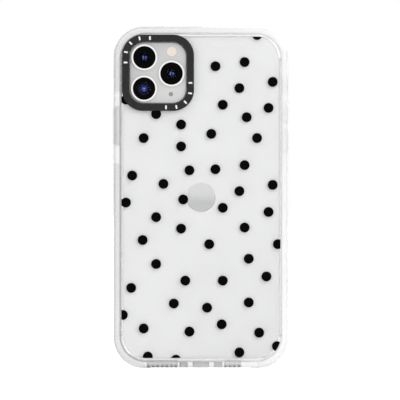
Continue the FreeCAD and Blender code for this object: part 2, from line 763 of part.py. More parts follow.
def make_band():
    """The steel band: a ledge for each glass, slots for the controls and holes in the bottom end."""
    body = slab("steel_band_body", PHONE_OUTLINE, minus(BACK_FACE), BACK_FACE)
    round_rim(body, "band_edge_round", BACK_FACE)
    round_rim(body, "band_edge_round", minus(BACK_FACE))
    pocket(body, "back", INNER_OUTLINE, f"{BACK_FACE} + {SPARE}", f"phone_depth + 2 * {SPARE}")
    pocket(body, "back", GLASS_OUTLINE, f"{BACK_FACE} + {SPARE}", f"glass_depth + {SPARE}")
    pocket(body, "back", GLASS_OUTLINE, minus(LEDGE_FRONT), f"glass_depth + gasket_depth + {SPARE}")

    slots = [button_slot(name, side, z, length) for name, (side, z, length) in BUTTONS.items()]
    slots.append(side_slab("silent_slot", 1, "silent_breadth + silent_travel + 2 * button_gap",
                           "silent_length + 2 * button_gap", "side_round",
                           f"{INNER_SIDE} - {SPARE}", f"{HALF_WIDTH} + {SPARE}", SILENT_Z))
    slots.append(side_slab("sim_slot", -1, "sim_breadth + 2 * sim_gap", "sim_length + 2 * sim_gap",
                           "side_round", f"{INNER_SIDE} - {SPARE}", f"{HALF_WIDTH} + {SPARE}", SIM_Z))
    low, high = f"(0 - {HALF_HEIGHT} - {SPARE})", f"({SPARE} - {INNER_END})"
    slots += end_holes("band_hole", "hole_radius", low, high)
    slots.append(slab("port_slot", ("port_width", "port_height", "port_round"), low, high, plane="end"))
    for word, x in (("left", "0 - screw_x"), ("right", "screw_x")):
        slots.append(post(f"screw_hole_{word}", "screw_radius", low, high, x))
    blocks = antenna_blocks()
    blank = cut("band_with_slots", body, slots)
    keep("antenna_lines", common("antenna_lines", blank, group("antenna_all", blocks)))
    keep("steel_band", cut("steel_band", blank, blocks))
    keep("mid_plate", cut("mid_plate",
                          slab("mid_plate_body", INNER_OUTLINE, minus(MID_FRONT), FLOOR),
                          [notch_block("mid_plate_notch")]))


def notch_block(name):
    """The room above the display panel for the earpiece and the front camera."""
    return block(name, ("0 - notch_width / 2", f"0 - {BACK_FACE}", f"{INNER_END} - notch_height"),
                 ("notch_width / 2", BACK_FACE, f"{INNER_END} - panel_border"))


def make_back_glass():
    """The back glass with the camera plateau worked from the same sheet, and its round polished inlay."""
    body = slab("back_glass_body", GLASS_OUTLINE, GLASS_IN, BACK_FACE)
    round_rim(body, "glass_edge_round", BACK_FACE)
    plateau = slab("plateau_body", PLATEAU_OUTLINE, f"{BACK_FACE} - glass_depth / 2", PLATEAU_OUT, RING_PLACE)
    round_rim(plateau, "plateau_round", PLATEAU_OUT)
    tools = [
        disc(f"{name}_hole", "trim_radius", f"{GLASS_IN} - {SPARE}", f"{PLATEAU_OUT} + {SPARE}", x, z)
        for name, (x, z) in CAMERAS.items()
    ]
    tools.append(disc("flash_hole", "flash_radius", f"{GLASS_IN} - {SPARE}", f"{PLATEAU_OUT} + {SPARE}",
                      *FLASH_PLACE))
    tools.append(disc("rear_mic_hole", "rear_mic_radius", f"{GLASS_IN} - {SPARE}", f"{PLATEAU_OUT} + {SPARE}",
                      *REAR_MIC_PLACE))
    tools.append(disc("emblem_sink", "emblem_radius",
                      f"{BACK_FACE} - emblem_depth", f"{BACK_FACE} + {SPARE}"))
    keep("back_glass", cut("back_glass", fuse("back_glass_blank", [body, plateau]), tools))
    keep("emblem_disc", disc("emblem", "emblem_radius", f"{BACK_FACE} - emblem_depth", BACK_FACE))
    keep("rear_microphone_mesh", disc("rear_mic", "rear_mic_radius", f"{PLATEAU_OUT} - 2 * mesh_depth",
                                      f"{PLATEAU_OUT} - mesh_depth", *REAR_MIC_PLACE))


# ---------------------------------------------------------------------------------------------------------
# Rear cameras and flash
# ---------------------------------------------------------------------------------------------------------


def make_camera(name, x, z):
    """One camera: trim ring, cover glass, module housing, lens barrel and front element."""
    lens_out = f"({TRIM_OUT} - lens_sink)"
    lens_in = f"({lens_out} - lens_depth)"
    barrel_top = f"({lens_in} - focus_travel - focus_room)"
    trim = disc(f"{name}_trim_blank", "trim_radius", GLASS_IN, TRIM_OUT, x, z)
    trim_bore = disc(f"{name}_trim_bore", "lens_radius",
                     f"{GLASS_IN} - {SPARE}", f"{TRIM_OUT} + {SPARE}", x, z)
    keep(f"{name}_lens_trim", cut(f"{name}_trim", trim, [trim_bore]))
    keep(f"{name}_lens_cover", disc(f"{name}_lens", "lens_radius", lens_in, lens_out, x, z))

    size = "module_size"
    housing = slab(f"{name}_housing", (size, size, "cell_corner"), FLOOR, GLASS_IN, (x, z))
    bore_start = f"({FLOOR} + mid_plate_depth)"
    bore = disc(f"{name}_bore", "barrel_radius + barrel_clearance", bore_start, f"{GLASS_IN} + {SPARE}", x, z)
    keep(f"{name}_camera_module", cut(f"{name}_camera_module", housing, [bore]))

    barrel_start = f"({bore_start} + module_wall_sink)" if name in FOCUSING else bore_start
    front = f"({barrel_top} - element_rise)"
    barrel = disc(f"{name}_barrel_blank", "barrel_radius", barrel_start, barrel_top, x, z)
    dish = doc.addObject("Part::Cone", f"{name}_dish")
    dish.Placement = FreeCAD.Placement(Vector(), ALONG_BACK)
    bind(dish, "Radius1", "element_radius")
    bind(dish, "Radius2", "barrel_radius - element_rise")
    bind(dish, "Height", "element_rise")
    place(dish, x, front, z)
    seat = disc(f"{name}_seat", "element_radius",
                f"{front} - element_rise", f"{front} + element_rise / 2", x, z)
    keep(f"{name}_lens_barrel", cut(f"{name}_lens_barrel", barrel, [dish, seat]))

    # the front element is a flat disc with a shallow domed face
    dome = doc.addObject("Part::Sphere", f"{name}_dome")
    bind(dome, "Radius", "2 * element_radius")
    place(dome, x, f"{front} + element_rise / 2 - 2 * element_radius", z)
    rod = disc(f"{name}_rod", "element_radius", f"{front} - element_rise", f"{front} + element_rise", x, z)
    keep(f"{name}_front_element", common(f"{name}_front_element", rod, dome))


def make_cameras():
    for name, (x, z) in CAMERAS.items():
        make_camera(name, x, z)
    window_in = f"({PLATEAU_OUT} - flash_depth)"
    keep("flash_window", disc("flash_glass", "flash_radius", window_in, PLATEAU_OUT, *FLASH_PLACE))
    led = slab("flash_led_body", ("1.5 * flash_radius", "1.5 * flash_radius", "flash_radius / 3"),
               GLASS_IN, f"{window_in} - mesh_depth", FLASH_PLACE)
    keep("flash_led", led)
    reach = "(flash_radius + side_round)"
    board = slab("flash_board_body", (f"2 * {reach}", f"{reach}", "side_round"),
                 f"{GLASS_IN} - board_depth", GLASS_IN, FLASH_PLACE)
    keep("flash_board", board)


# ---------------------------------------------------------------------------------------------------------
# Display side
# ---------------------------------------------------------------------------------------------------------


def make_display():
    """Display glass, gasket and panel, with the earpiece and the front camera in the notch above it."""
    notch_z = f"({INNER_END} - panel_border - (notch_height - panel_border) / 2)"
    glass = slab("display_glass_body", GLASS_OUTLINE, minus(BACK_FACE), minus(PANEL_OUT))
    round_rim(glass, "glass_edge_round", minus(BACK_FACE))
    pocket(glass, "back", ("earpiece_width", "earpiece_height", "earpiece_height * 0.45"),
           f"{SPARE} - {PANEL_OUT}", f"glass_depth + 2 * {SPARE}", ("0", notch_z))
    keep("display_glass", glass)
    keep("earpiece_mesh", slab("earpiece_mesh_body",
                               ("earpiece_width", "earpiece_height", "earpiece_height * 0.45"),
                               f"mesh_depth - {BACK_FACE}", minus(PANEL_OUT), ("0", notch_z)))
    keep("display_gasket", slab("display_gasket_body", GLASS_OUTLINE, minus(PANEL_OUT), minus(LEDGE_FRONT),
                                opening=INNER_OUTLINE))
    panel_outline = grown(INNER_OUTLINE, "(0 - panel_border)")
    panel = slab("display_panel_body", panel_outline, minus(PANEL_OUT), minus(MID_FRONT))
    keep("display_panel", cut("display_panel", panel, [notch_block("panel_notch")]))

    height = "(notch_height - panel_border - 2 * top_module_gap)"
    end = f"(top_module_depth - {PANEL_OUT})"
    keep("earpiece_speaker", slab("earpiece_speaker_body",
                                  ("earpiece_width + top_module_gap", height, "side_round"),
                                  minus(PANEL_OUT), end, ("0", notch_z)))
    keep("front_camera", disc("front_camera_body", "front_camera_radius", minus(PANEL_OUT), end,
                              "front_camera_x", notch_z))


# ---------------------------------------------------------------------------------------------------------
# Inside the phone
# ---------------------------------------------------------------------------------------------------------


def make_battery():
    """The two cells: a wide lower one, and a narrow upper one that fills the height beside the board."""
    lower_outline = (f"2 * ({INNER_SIDE} - cell_side_room)", span(LOWER_BASE, LOWER_TOP), "cell_corner")
    keep("battery_lower_cell", slab("lower_cell_body", lower_outline, FLOOR, CELL_TOP,
                                    ("0", f"({LOWER_BASE} + {LOWER_TOP}) / 2")))
    near, far = "(cell_split_x + board_gap / 2)", f"({INNER_SIDE} - upper_cell_side_room)"
    top = f"({INNER_END} - upper_cell_from_top)"
    upper_outline = (span(near, far), span(UPPER_BASE, top), "cell_corner")
    keep("battery_upper_cell", slab("upper_cell_body", upper_outline, FLOOR, CELL_TOP,
                                    (f"({near} + {far}) / 2", f"({UPPER_BASE} + {top}) / 2")))


def make_board():
    """The logic board below the cameras, with two shield cans and the small screws that hold it down."""
    low_x, high_x = f"(board_side_room - {INNER_SIDE})", "(cell_split_x - board_gap / 2)"
    top_z = f"({CAMERAS['ultra_wide'][1]} - module_size / 2 - board_top_room)"
    width, height = span(low_x, high_x), span(UPPER_BASE, top_z)
    x, z = f"(({low_x} + {high_x}) / 2)", f"(({UPPER_BASE} + {top_z}) / 2)"
    surface = f"({FLOOR} + board_depth)"
    keep("logic_board", slab("logic_board_body", (width, height, "cell_corner"), FLOOR, surface, (x, z)))
    can_height = f"({height} / 2 - 2 * shield_margin - fixing_head_radius)"
    cans = [
        slab(f"shield_{word}", (f"{width} - sim_reach - 2 * shield_margin", can_height, "side_round"),
             surface, f"{surface} + shield_depth", (f"{x} + sim_reach / 2", f"{z} {sign} {height} / 4"))
        for word, sign in (("upper", "+"), ("lower", "-"))
    ]
    keep("board_shields", group("board_shields", cans))
    heads = []
    for word, sign in (("left", "-"), ("right", "+")):
        screw_x = f"{x} {sign} ({width} / 2 - shield_margin)"
        heads.append(disc(f"board_screw_{word}", "fixing_head_radius", surface,
                          f"{surface} + fixing_head_depth", screw_x, z))
    keep("board_screws", group("board_screws", heads))


def make_coil():
    """The flat charging coil under the back glass, with its rings of wire and its ferrite sheet."""
    start = f"({GLASS_IN} - coil_depth)"
    rings = []
    for index in range(COIL_GROOVES):
        step = f"{index} * (coil_outer - coil_inner) / {COIL_GROOVES}"
        outer = f"(coil_outer - {step})"
        ring = cut(f"coil_ring_{index}",
                   disc(f"coil_outer_{index}", outer, start, GLASS_IN),
                   [disc(f"coil_inner_{index}", f"{outer} - coil_turn", f"{start} - {SPARE}",
                         f"{GLASS_IN} + {SPARE}")])
        rings.append(ring)
    keep("charging_coil", group("charging_coil", rings))
    keep("coil_ferrite", disc("ferrite", "coil_outer + coil_turn", f"{start} - ferrite_depth", start))


def make_bottom_modules():
    """Loudspeaker, vibration motor and charging port along the phone's bottom end."""
    keep("loudspeaker", slab("loudspeaker_body", ("speaker_width", "speaker_height", "cell_corner"),
                             FLOOR, BOTTOM_TOP, ("speaker_x", f"{BOTTOM_BASE} + speaker_height / 2")))
    place_haptic = ("haptic_x", f"{BOTTOM_BASE} + haptic_height / 2")
    shell = slab("haptic_shell_body", ("haptic_width", "haptic_height", "side_round"),
                 FLOOR, BOTTOM_TOP, place_haptic)
    room_outline = (
        "haptic_width - 2 * haptic_wall",
        "haptic_height - 2 * haptic_wall",
        "side_round - haptic_wall",
    )
    room = slab("haptic_room", room_outline,
                f"{FLOOR} + haptic_wall", f"{BOTTOM_TOP} - haptic_wall", place_haptic)
    keep("haptic_housing", cut("haptic_housing", shell, [room]))
    inset = "(haptic_wall + haptic_gap)"
    keep("haptic_mass", slab("haptic_mass_body",
                             (f"haptic_width - 2 * ({inset} + haptic_travel)", f"haptic_height - 2 * {inset}",
                              "side_round"),
                             f"{FLOOR} + {inset}", f"{BOTTOM_TOP} - {inset}", place_haptic))


def make_port():
    """The charging port: its metal shell inside the band, the tongue in it, and the two end screws."""
    low = f"(band_wall / 2 - {HALF_HEIGHT})"
    high = f"(port_length - {HALF_HEIGHT})"
    start = minus(INNER_END)
    port_outline = ("port_width", "port_height", "port_round")
    shell = slab("port_shell_body", grown(port_outline, "port_shell"), start, high, plane="end")
    room = slab("port_room", port_outline, f"{start} - {SPARE}", f"{high} - port_shell", plane="end")
    keep("charging_port_shell", cut("charging_port_shell", shell, [room]))
    keep("charging_port_contacts", slab("port_contacts_body",
                                        ("tongue_width", "tongue_height", "tongue_height * 0.3"),
                                        f"{high} - port_length / 2", f"{high} - port_shell", plane="end"))
    screws = []
    for word, x in (("left", "0 - screw_x"), ("right", "screw_x")):
        screws.append(post(f"end_screw_{word}", "screw_radius", low, f"{low} + band_wall / 2 + {SPARE}", x))
    keep("end_screws", group("end_screws", screws))
    discs = end_holes("mesh", "hole_radius", low, f"({low} + mesh_depth)")
    keep("hole_meshes", group("hole_meshes", discs))


def make_side_controls():
    """Buttons with their covers and contacts, the silent switch and the card tray."""
    for name, (side, z, length) in BUTTONS.items():
        make_button(name, side, z, length)
    contacts = [button_contact(name, side, z, length) for name, (side, z, length) in BUTTONS.items()]
    keep("button_contacts", group("button_contacts", contacts))
    lever = side_slab("silent_lever", 1, "silent_breadth", "silent_length", "silent_breadth * 0.45",
                      f"{INNER_SIDE} + switch_gap", f"{HALF_WIDTH} + silent_rise", SILENT_Z)
    lever_sketch = next(item for item in lever.Group if item.TypeId == "Sketcher::SketchObject")
    bind(lever_sketch, ".AttachmentOffset.Base.x", "0 - silent_travel / 2")
    keep("silent_switch", lever)
    keep("silent_switch_base", side_slab("silent_base", 1, f"0 - 2 * {FLOOR}", "silent_length",
                                         "side_round", f"{INNER_SIDE} - switch_depth", INNER_SIDE, SILENT_Z))
    face = side_slab("sim_tray_face", -1, "sim_breadth", "sim_length", "side_round",
                     INNER_SIDE, HALF_WIDTH, SIM_Z)
    carrier = side_slab("sim_tray_carrier", -1, "sim_carrier_depth", "sim_length - sim_carrier_short",
                        "sim_carrier_depth / 4", f"{INNER_SIDE} - sim_reach", f"{INNER_SIDE} + band_wall / 2",
                        SIM_Z)
    keep("sim_tray", fuse("sim_tray", [face, carrier]))


# ---------------------------------------------------------------------------------------------------------
# Build, check and write
# ---------------------------------------------------------------------------------------------------------


def check_document():
    """Stops if any object failed or any finished piece is empty or invalid."""
    faults = [item.Name for item in doc.Objects if {"Invalid", "Error"} & set(item.State)]
    if faults:
        raise RuntimeError("failed objects: " + ", ".join(faults))
    for label, item in NODES.items():
        shape = item.Shape
        if shape.isNull() or not shape.isValid() or not shape.Solids:
            raise RuntimeError("bad shape: " + label)


def write_pieces():
    os.makedirs("parts", exist_ok=True)
    for label, item in NODES.items():
        item.Shape.exportStep(f"parts/{label}.step")


def main():
    make_bumper()
    make_back_plate()
    make_camera_ring()
    make_printed_dots()
    make_band()
    make_back_glass()
    make_cameras()
    make_display()
    make_battery()
    make_board()
    make_coil()
    make_bottom_modules()
    make_port()
    make_side_controls()
    doc.recompute()
    check_document()
    write_pieces()
    for label, item in sorted(NODES.items()):
        box = item.Shape.BoundBox
        print(f"{label:26s} solids {len(item.Shape.Solids):3d} volume {item.Shape.Volume:10.2f} "
              f"x {box.XMin:7.2f} {box.XMax:7.2f} y {box.YMin:6.2f} {box.YMax:6.2f} "
              f"z {box.ZMin:7.2f} {box.ZMax:7.2f}")


main()
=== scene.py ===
"""The looks of the phone in its clear dotted bumper case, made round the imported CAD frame."""
import math

import bpy
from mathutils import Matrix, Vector


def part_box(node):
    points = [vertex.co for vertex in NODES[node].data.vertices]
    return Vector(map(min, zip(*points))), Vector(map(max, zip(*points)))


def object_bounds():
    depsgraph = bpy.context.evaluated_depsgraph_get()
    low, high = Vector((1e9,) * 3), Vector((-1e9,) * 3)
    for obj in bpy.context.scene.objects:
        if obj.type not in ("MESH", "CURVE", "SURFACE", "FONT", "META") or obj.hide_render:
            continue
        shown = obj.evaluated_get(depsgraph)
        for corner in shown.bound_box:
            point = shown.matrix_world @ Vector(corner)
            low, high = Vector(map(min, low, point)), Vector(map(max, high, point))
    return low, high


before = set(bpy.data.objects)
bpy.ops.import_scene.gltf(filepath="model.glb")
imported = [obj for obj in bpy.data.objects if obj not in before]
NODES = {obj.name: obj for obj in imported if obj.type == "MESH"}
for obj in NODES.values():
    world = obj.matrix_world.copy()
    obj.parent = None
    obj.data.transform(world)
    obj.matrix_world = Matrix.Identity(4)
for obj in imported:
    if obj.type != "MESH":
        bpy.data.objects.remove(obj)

CAD_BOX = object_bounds()
MM = 0.001
CAMERAS = ("wide", "ultra_wide", "telephoto")
BUTTONS = ("power_button", "volume_up_button", "volume_down_button")
PHONE_CORNER = 12.5  # the radius of the phone's corners, in millimetres

# ---------------------------------------------------------------------------------------------------------
# Helpers for node materials. Every object sits at the origin, so object coordinates are the frame's metres.
# ---------------------------------------------------------------------------------------------------------


# A mix node has sockets of one name for numbers, vectors and colours. These are the ones for colours.
MIX_FIRST = 6
MIX_SECOND = 7
MIX_RESULT = 2


class Look:
    """A node material under construction, with its Principled shader and the frame's coordinates."""

    def __init__(self, name, **sockets):
        self.material = bpy.data.materials.new(name)
        self.material.use_nodes = True
        self.tree = self.material.node_tree
        self.shader = self.tree.nodes["Principled BSDF"]
        self.output = self.tree.nodes["Material Output"]
        self.place = self.add("ShaderNodeTexCoord").outputs["Object"]
        for socket, value in sockets.items():
            self.shader.inputs[socket.replace("_", " ")].default_value = value

    def add(self, kind, **settings):
        node = self.tree.nodes.new(kind)
        for name, value in settings.items():
            setattr(node, name, value)
        return node

    def link(self, start, end):
        self.tree.links.new(start, end)

    def noise(self, grain_mm, detail=2.0, stretch=(1.0, 1.0, 1.0)):
        """Noise with features about grain_mm wide, drawn out along an axis by a small stretch factor."""
        mapping = self.add("ShaderNodeMapping")
        mapping.inputs["Scale"].default_value = stretch
        self.link(self.place, mapping.inputs["Vector"])
        node = self.add("ShaderNodeTexNoise")
        node.inputs["Scale"].default_value = 1.0 / (grain_mm * MM)
        node.inputs["Detail"].default_value = detail
        self.link(mapping.outputs["Vector"], node.inputs["Vector"])
        return node.outputs["Fac"]

    def spread(self, value, low, high):
        """The value, taken from 0-1 to low-high."""
        node = self.add("ShaderNodeMapRange")
        self.feed(node.inputs["To Min"], low)
        self.feed(node.inputs["To Max"], high)
        self.link(value, node.inputs["Value"])
        return node.outputs["Result"]

    def share(self, value, start, end):
        """How far the value is from start to end, from 0 to 1."""
        node = self.add("ShaderNodeMapRange")
        node.inputs["From Min"].default_value = start
        node.inputs["From Max"].default_value = end
        self.link(value, node.inputs["Value"])
        return node.outputs["Result"]

    def feed(self, socket, value):
        """Sets a socket to a number, or links it to another socket."""
        if isinstance(value, (int, float)):
            socket.default_value = value
        else:
            self.link(value, socket)

    def math(self, operation, first, second):
        node = self.add("ShaderNodeMath", operation=operation)
        self.feed(node.inputs[0], first)
        self.feed(node.inputs[1], second)
        return node.outputs["Value"]

    def product(self, first, *others):
        """Several values multiplied. For masks of 0 and 1, the place where all of them overlap."""
        result = first
        for value in others:
            result = self.math("MULTIPLY", result, value)
        return result

    def between(self, value, low, high):
        """1 where the value is between low and high, 0 elsewhere."""
        return self.product(self.math("GREATER_THAN", value, low), self.math("LESS_THAN", value, high))

    def ramp(self, value, stops):
        """Colours along a value. Each stop is (place, (r, g, b))."""
        node = self.add("ShaderNodeValToRGB")
        elements = node.color_ramp.elements
        while len(elements) < len(stops):
            elements.new(0.5)
        for element, (place, tone) in zip(elements, stops):
            element.position = place
            element.color = colour(tone)
        self.link(value, node.inputs["Fac"])
        return node.outputs["Color"]

    def mix(self, factor, first, second, how="MIX"):
        """Two colours mixed, or with how="ADD" the second one added to the first."""
        node = self.add("ShaderNodeMix", data_type="RGBA", blend_type=how)
        self.feed(node.inputs["Factor"], factor)
        self.link(first, node.inputs[MIX_FIRST])
        self.link(second, node.inputs[MIX_SECOND])
        return node.outputs[MIX_RESULT]

    def tint(self, value, dark, light):
        """Base colour that varies from dark to light."""
        self.link(self.ramp(value, [(0.3, dark), (0.7, light)]), self.shader.inputs["Base Color"])

    def rough(self, value, low, high):
        self.link(self.spread(value, low, high), self.shader.inputs["Roughness"])

    def bump(self, value, height_mm, strength=1.0):
        node = self.add("ShaderNodeBump")
        node.inputs["Strength"].default_value = strength
        node.inputs["Distance"].default_value = height_mm * MM
        self.link(value, node.inputs["Height"])
        self.link(node.outputs["Normal"], self.shader.inputs["Normal"])

    def radius_from(self, centre, tall=1.0):
        """The distance in millimetres from a line through centre that runs front to back. With tall above 1
        the places at one distance make an upright oval."""
        moved = self.add("ShaderNodeVectorMath", operation="SUBTRACT")
        self.link(self.place, moved.inputs[0])
        moved.inputs[1].default_value = centre
        flat = self.add("ShaderNodeVectorMath", operation="MULTIPLY")
        self.link(moved.outputs["Vector"], flat.inputs[0])
        flat.inputs[1].default_value = (1.0 / MM, 0.0, 1.0 / (tall * MM))
        length = self.add("ShaderNodeVectorMath", operation="LENGTH")
        self.link(flat.outputs["Vector"], length.inputs[0])
        return length.outputs["Value"]

    def rings_round(self, centre, pace):
        """Fine rings round a centre, pace radians of a wave to the millimetre."""
        return self.math("SINE", self.product(self.radius_from(centre), pace), 0.0)

    def axis(self, name):
        split = self.add("ShaderNodeSeparateXYZ")
        self.link(self.place, split.inputs["Vector"])
        return split.outputs[name]

    def inside(self, low, high):
        """1 inside a box between two corners in metres, 0 outside it."""
        sides = zip("XYZ", low, high)
        return self.product(*(self.between(self.axis(name), first, last) for name, first, last in sides))

    def off_outline(self, low, high, corner):
        """How many millimetres a place is outside a rounded outline seen from behind, negative inside."""
        beyond = []
        for name, first, last in (("X", low.x, high.x), ("Z", low.z, high.z)):
            from_middle = self.math("SUBTRACT", self.axis(name), (first + last) / 2)
            from_middle = self.math("ABSOLUTE", from_middle, 0.0)
            past = self.math("SUBTRACT", from_middle, (last - first) / 2 - corner * MM)
            beyond.append(self.math("MULTIPLY", self.math("MAXIMUM", past, 0.0), 1.0 / MM))
        squares = self.math("ADD", *(self.product(value, value) for value in beyond))
        return self.math("SUBTRACT", self.math("SQRT", squares, 0.0), corner)

    def let_light_through(self, tone):
        """Lets the lamps shine through, where a refracting shader alone would cast a full shadow."""
        clear = self.add("ShaderNodeBsdfTransparent")
        clear.inputs["Color"].default_value = colour(tone)
        path = self.add("ShaderNodeLightPath")
        mix = self.add("ShaderNodeMixShader")
        self.link(path.outputs["Is Shadow Ray"], mix.inputs["Fac"])
        self.link(self.shader.outputs["BSDF"], mix.inputs[1])
        self.link(clear.outputs["BSDF"], mix.inputs[2])
        self.link(mix.outputs["Shader"], self.output.inputs["Surface"])


def grey(level):
    return (level, level, level)


def colour(rgb):
    return (*rgb, 1.0)


def middle(node):
    low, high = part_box(node)
    return (low + high) / 2


def dress(look, *names):
    """Gives CAD nodes a material, in each of their slots."""
    for name in names:
        data = NODES[name].data
        if not data.materials:
            data.materials.append(look.material)
        for index in range(len(data.materials)):
            data.materials[index] = look.material


# ---------------------------------------------------------------------------------------------------------
# The case
# ---------------------------------------------------------------------------------------------------------


# Zones of the clear band, in millimetres.
OPENINGS_REACH = 27.0  # half the width of the zone with openings in the bottom end
SLOTS_REACH = 11.2  # the round holes lie further out than this
HOLES_ZONE = (-26.3, 19.6)  # the stretch of the bottom end, from left to right, with the round holes
HOLE_SHADE = (0.45, 1.8)  # the part of each round hole, near its end, that gathers the most shadow
RELIEF_REACH = 5.4  # the wall is thinner this far beyond the volume buttons' covers
OVER_PHONE = (-0.35, -0.6)  # from the phone's outline inwards, where the band lies on the phone
MEETING_LINE = (0.5, 0.1)  # how far from the outline the line of shade starts and is full
WINDOWS_TOP = 9.0  # the button windows end at least this far below the phone's top
SKIN = 0.05 * MM  # keeps a zone's limit off the faces near it
DEEP = 3.0 * MM  # takes a zone well inside the band's front and back, or well past its faces

# Tones of the clear band at the left, in the middle and at the right. Their fall towards the left is
# painted shade, and so is the darker line where the band meets the phone.
BEYOND_PHONE_TONES = (0.79, 0.86, 0.94)
MEETING_TONES = (0.7, 0.88, 0.88)
CLEAR_TONE = 0.985
# A lighter painted tone where the wall beside the volume buttons is thinner, and a painted shade over the
# stretch with the round holes.
RELIEF_TONE = 0.94
OVER_HOLES_TONE = 0.86
# The frosted walls are darker to the left by painted shade, and the round holes' ends are darkened with
# painted shadow.
FROSTED_TONES = (0.68, 0.97)  # left and right
SHADED_TONE = 0.1

# How much light passes: 0 is solid, 1 is clear.
CLOUDY = 0.72
NEARLY_CLEAR = 0.94
MILKY = 0.45
WINDOW_WALLS = 0.65
PORT_WALLS = 0.35
SOLID = 0.0


class BandZones:
    """Masks, 1 in a zone and 0 elsewhere, and measures that the clear band's look is made from."""

    def __init__(self, look):
        low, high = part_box("case_bumper")
        phone_low, phone_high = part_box("steel_band")
        reach = OPENINGS_REACH * MM
        sideways = look.math("ABSOLUTE", look.axis("X"), 0.0)
        off_bottom = look.math("SUBTRACT", look.axis("Z"), low.z)
        past_slots = look.math("GREATER_THAN", sideways, SLOTS_REACH * MM)
        shade_start, shade_end = (height * MM for height in HOLE_SHADE)
        self.across = look.share(look.axis("X"), low.x, high.x)
        self.ports = look.inside(
            (-reach, low.y + DEEP, low.z + SKIN),
            (reach, high.y - DEEP, phone_low.z - SKIN),
        )
        self.near_ports = look.inside(
            (-reach, low.y - DEEP, low.z - DEEP),
            (reach, high.y + DEEP, phone_low.z),
        )
        windows = look.inside(
            (low.x + SKIN, low.y + DEEP, middle("case_bumper").z),
            (high.x - SKIN, high.y - DEEP, phone_high.z - WINDOWS_TOP * MM),
        )
        beside_phone = look.math("GREATER_THAN", sideways, phone_high.x + SKIN)
        self.frosted = look.math("MAXIMUM", self.ports, look.product(windows, beside_phone))
        self.holes = look.product(self.ports, past_slots)
        self.shaded = look.product(self.holes, look.between(off_bottom, shade_start, shade_end))
        among_holes = look.between(look.axis("X"), *(place * MM for place in HOLES_ZONE))
        above_shade = look.math("GREATER_THAN", off_bottom, shade_end)
        self.over_holes = look.product(self.near_ports, past_slots, among_holes, above_shade)
        relief_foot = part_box("volume_down_button_cover")[0].z - RELIEF_REACH * MM
        relief_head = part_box("volume_up_button_cover")[1].z + RELIEF_REACH * MM
        self.reliefs = look.inside(
            (low.x - SKIN, low.y - SKIN, relief_foot),
            (phone_low.x, high.y + SKIN, relief_head),
        )
        outside = look.off_outline(phone_low, phone_high, PHONE_CORNER)
        self.over_phone = look.share(outside, *OVER_PHONE)
        self.meeting = look.share(look.math("ABSOLUTE", outside, 0.0), *MEETING_LINE)


def from_left_to_right(look, across, tones):
    """A grey that changes from the case's left side through its middle to its right side."""
    left, centre, right = tones
    return look.ramp(across, [(0.0, grey(left)), (0.5, grey(centre)), (1.0, grey(right))])


def clear_band():
    """Soft clear plastic: slightly cloudy, darker to the left by painted shade, with an unevenly polished
    skin, a painted line of shade where it meets the phone, painted shade over the round holes and painted
    shadow at their ends, and frosted walls in its openings."""
    look = Look("clear_band", IOR=1.46)
    zones = BandZones(look)
    # Painted shade: the band darkens towards the left, along the line where it meets the phone, and over
    # the round holes.
    beyond_phone = from_left_to_right(look, zones.across, BEYOND_PHONE_TONES)
    beyond_phone = look.spread(zones.reliefs, beyond_phone, RELIEF_TONE)
    line = look.spread(zones.meeting, 1.0, from_left_to_right(look, zones.across, MEETING_TONES))
    clear_tone = look.product(look.spread(zones.over_phone, beyond_phone, CLEAR_TONE), line)
    clear_tone = look.product(clear_tone, look.spread(zones.over_holes, 1.0, OVER_HOLES_TONE))
    frosted_tone = look.spread(zones.shaded, look.spread(zones.across, *FROSTED_TONES), SHADED_TONE)
    look.link(look.spread(zones.frosted, clear_tone, frosted_tone), look.shader.inputs["Base Color"])
    skin = look.spread(look.math("MAXIMUM", zones.near_ports, zones.over_phone), CLOUDY, NEARLY_CLEAR)
    skin = look.spread(zones.over_holes, skin, MILKY)
    walls = look.spread(zones.ports, WINDOW_WALLS, PORT_WALLS)
    walls = look.spread(zones.shaded, look.spread(zones.holes, walls, MILKY), SOLID)
    look.link(look.spread(zones.frosted, skin, walls), look.shader.inputs["Transmission Weight"])
    polish = look.spread(look.noise(6.0), 0.05, 0.1)
    frosting = look.spread(zones.frosted, 0.0, 0.4)
    look.link(look.math("ADD", polish, frosting), look.shader.inputs["Roughness"])
    look.bump(look.noise(0.9), 0.0002, 0.05)
    look.let_light_through(grey(0.93))
    return look


def clear_cover():
    """The same plastic in the button covers, with painted shade that darkens it towards the phone and to
    the left.
    """
    look = Look("clear_cover", IOR=1.46, Transmission_Weight=0.8)
    low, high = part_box("case_bumper")
    phone_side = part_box("steel_band")[1].x
    across = look.share(look.axis("X"), low.x, high.x)
    depth = look.share(look.math("ABSOLUTE", look.axis("X"), 0.0), high.x, phone_side)
    # Painted shade: darker to the left and towards the phone.
    outer_tone = look.spread(across, 0.93, 1.0)
    inner_tone = look.spread(across, 0.8, 1.0)
    tone = look.product(outer_tone, look.spread(depth, 1.0, inner_tone))
    look.link(tone, look.shader.inputs["Base Color"])
    look.rough(look.noise(6.0), 0.06, 0.12)
    look.let_light_through(grey(0.9))
    return look


def clear_plate():
    """Hard clear plastic, polished, with the faintest handling marks."""
    look = Look("clear_plate", Base_Color=colour((0.99, 0.992, 0.995)), IOR=1.45, Transmission_Weight=1.0)
    look.rough(look.noise(9.0, detail=4.0), 0.01, 0.05)
    look.let_light_through(grey(0.96))
    return look


def satin_black():
    """Moulded satin black with a fine spark-eroded grain."""
    look = Look("satin_black", Specular_IOR_Level=0.18)
    look.tint(look.noise(1.5), grey(0.012), grey(0.02))
    look.rough(look.noise(0.8), 0.38, 0.5)
    look.bump(look.noise(0.12), 0.01, 0.5)
    return look


def white_print():
    """Matt white ink."""
    look = Look("white_print")
    look.tint(look.noise(0.3), grey(0.72), grey(0.85))
    look.rough(look.noise(0.2), 0.45, 0.6)
    return look


